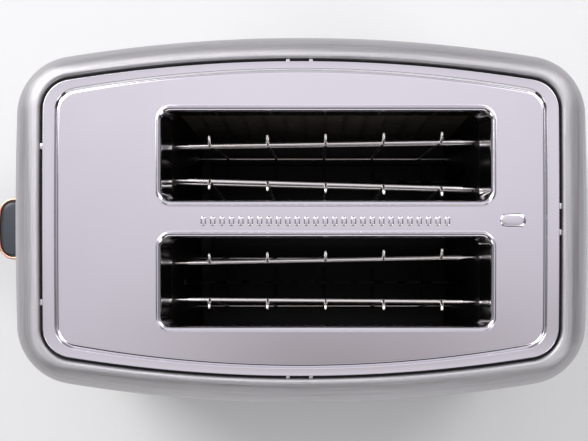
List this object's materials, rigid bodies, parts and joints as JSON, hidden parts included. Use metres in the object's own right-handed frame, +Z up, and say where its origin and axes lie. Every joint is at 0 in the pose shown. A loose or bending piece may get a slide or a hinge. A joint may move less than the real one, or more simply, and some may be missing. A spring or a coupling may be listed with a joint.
{
  "type": "toaster",
  "caption": "Bread toaster with a brushed steel sleeve, an inset polished top plate, two wide slots with wire bread guides, and a lever at one end.",
  "frame": {"origin": "centre of the whole part's footprint, on the table plane under its feet", "axes": "+X from the lever end to the rear end with the crumb tray; +Y from the front slot to the back slot; +Z up"},
  "size_m": [0.319, 0.1792, 0.19],
  "materials": {
    "sleeve_steel": "brushed stainless steel, fine streaks along the body",
    "plate_steel": "polished stainless steel with a soft mirror",
    "plated_steel": "zinc-plated or raw rolled steel sheet",
    "chrome_wire": "bright drawn wire, slightly heat-tinted",
    "copper_trim": "satin copper-coloured metal",
    "black_plastic": "black moulded plastic, fine texture",
    "slate_plastic": "dark blue-grey moulded plastic, satin",
    "rubber": "black rubber, matte",
    "mica": "pressed mica sheet, faint flakes",
    "heater_alloy": "resistance alloy strip, dull from heat",
    "circuit_green": "green circuit board laminate",
    "enamelled_wire": "enamelled copper winding",
    "brown_sleeving": "brown insulated lead",
    "blue_sleeving": "blue insulated lead"
  },
  "bodies": {
    "body": {"outer_sleeve": "sleeve_steel", "top_plate": "plate_steel", "top_frame": "black_plastic", "base": "black_plastic", "foot_lever_front": "rubber", "foot_lever_back": "rubber", "foot_rear_front": "rubber", "foot_rear_back": "rubber", "screw_lever_front": "plated_steel", "screw_lever_back": "plated_steel", "screw_rear_front": "plated_steel", "screw_rear_back": "plated_steel", "lever_end_plate": "plated_steel", "rear_end_plate": "plated_steel", "reflector_front": "plated_steel", "reflector_back": "plated_steel", "heater_board_front": "mica", "heater_board_middle": "mica", "heater_board_back": "mica", "heater_ribbon_front": "heater_alloy", "heater_ribbon_middle": "heater_alloy", "heater_ribbon_back": "heater_alloy", "guide_post_front": "plated_steel", "guide_post_back": "plated_steel", "post_bridge": "plated_steel", "return_spring": "plated_steel", "magnet_core": "plated_steel", "magnet_coil": "enamelled_wire", "control_panel": "slate_plastic", "switch_defrost": "black_plastic", "switch_reheat": "black_plastic", "switch_cancel": "black_plastic", "dial_ring": "copper_trim", "potentiometer": "black_plastic", "circuit_board": "circuit_green", "cord_gland": "black_plastic", "terminal_block": "black_plastic", "lead_live": "brown_sleeving", "lead_neutral": "blue_sleeving"},
    "lift": {"carriage": "plated_steel", "latch_keeper": "plated_steel", "lift_rack_front": "plated_steel", "lift_rack_back": "plated_steel", "lever_arm": "plated_steel", "lever_knob": "slate_plastic", "knob_trim": "copper_trim"},
    "guide_front_outer_frame": {"guide_front_outer": "chrome_wire"},
    "guide_front_inner_frame": {"guide_front_inner": "chrome_wire"},
    "guide_back_inner_frame": {"guide_back_inner": "chrome_wire"},
    "guide_back_outer_frame": {"guide_back_outer": "chrome_wire"},
    "dial": {"browning_dial": "slate_plastic", "dial_shaft": "plated_steel"},
    "defrost": {"button_defrost": "black_plastic"},
    "reheat": {"button_reheat": "black_plastic"},
    "cancel": {"button_cancel": "black_plastic"},
    "tray": {"crumb_tray": "plated_steel", "crumb_tray_handle": "black_plastic"}
  },
  "joints": [
    {"name": "lever_slide", "type": "slide", "parent": "body", "child": "lift", "axis": [0, 0, 1], "range_m": [0, 0.07], "deforming": ["return_spring"]},
    {"name": "guide_front_outer_hinge", "type": "hinge", "parent": "body", "child": "guide_front_outer_frame", "pos_m": [0.02485, -0.0446, 0.035], "axis": [1, 0, 0], "range_deg": [0, 3.3]},
    {"name": "guide_front_inner_hinge", "type": "hinge", "parent": "body", "child": "guide_front_inner_frame", "pos_m": [0.02485, -0.0156, 0.035], "axis": [-1, 0, 0], "range_deg": [0, 3.3]},
    {"name": "guide_back_inner_hinge", "type": "hinge", "parent": "body", "child": "guide_back_inner_frame", "pos_m": [0.02485, 0.0156, 0.035], "axis": [1, 0, 0], "range_deg": [0, 3.3]},
    {"name": "guide_back_outer_hinge", "type": "hinge", "parent": "body", "child": "guide_back_outer_frame", "pos_m": [0.02485, 0.0446, 0.035], "axis": [-1, 0, 0], "range_deg": [0, 3.3]},
    {"name": "dial_turn", "type": "hinge", "parent": "body", "child": "dial", "pos_m": [-0.12695, 0, 0.048], "axis": [1, 0, 0], "range_deg": [-135, 135]},
    {"name": "defrost_press", "type": "slide", "parent": "body", "child": "defrost", "axis": [1, 0, 0], "range_m": [0, 0.0015], "stiffness_N_per_m": 300},
    {"name": "reheat_press", "type": "slide", "parent": "body", "child": "reheat", "axis": [1, 0, 0], "range_m": [0, 0.0015], "stiffness_N_per_m": 300},
    {"name": "cancel_press", "type": "slide", "parent": "body", "child": "cancel", "axis": [1, 0, 0], "range_m": [0, 0.0015], "stiffness_N_per_m": 300},
    {"name": "tray_slide", "type": "slide", "parent": "body", "child": "tray", "axis": [1, 0, 0], "range_m": [0, 0.18]}
  ],
  "couplings": [
    {"joint": "guide_front_outer_hinge", "follows": "lever_slide", "rad_per_m": 0.8},
    {"joint": "guide_front_inner_hinge", "follows": "lever_slide", "rad_per_m": 0.8},
    {"joint": "guide_back_inner_hinge", "follows": "lever_slide", "rad_per_m": 0.8},
    {"joint": "guide_back_outer_hinge", "follows": "lever_slide", "rad_per_m": 0.8}
  ]
}
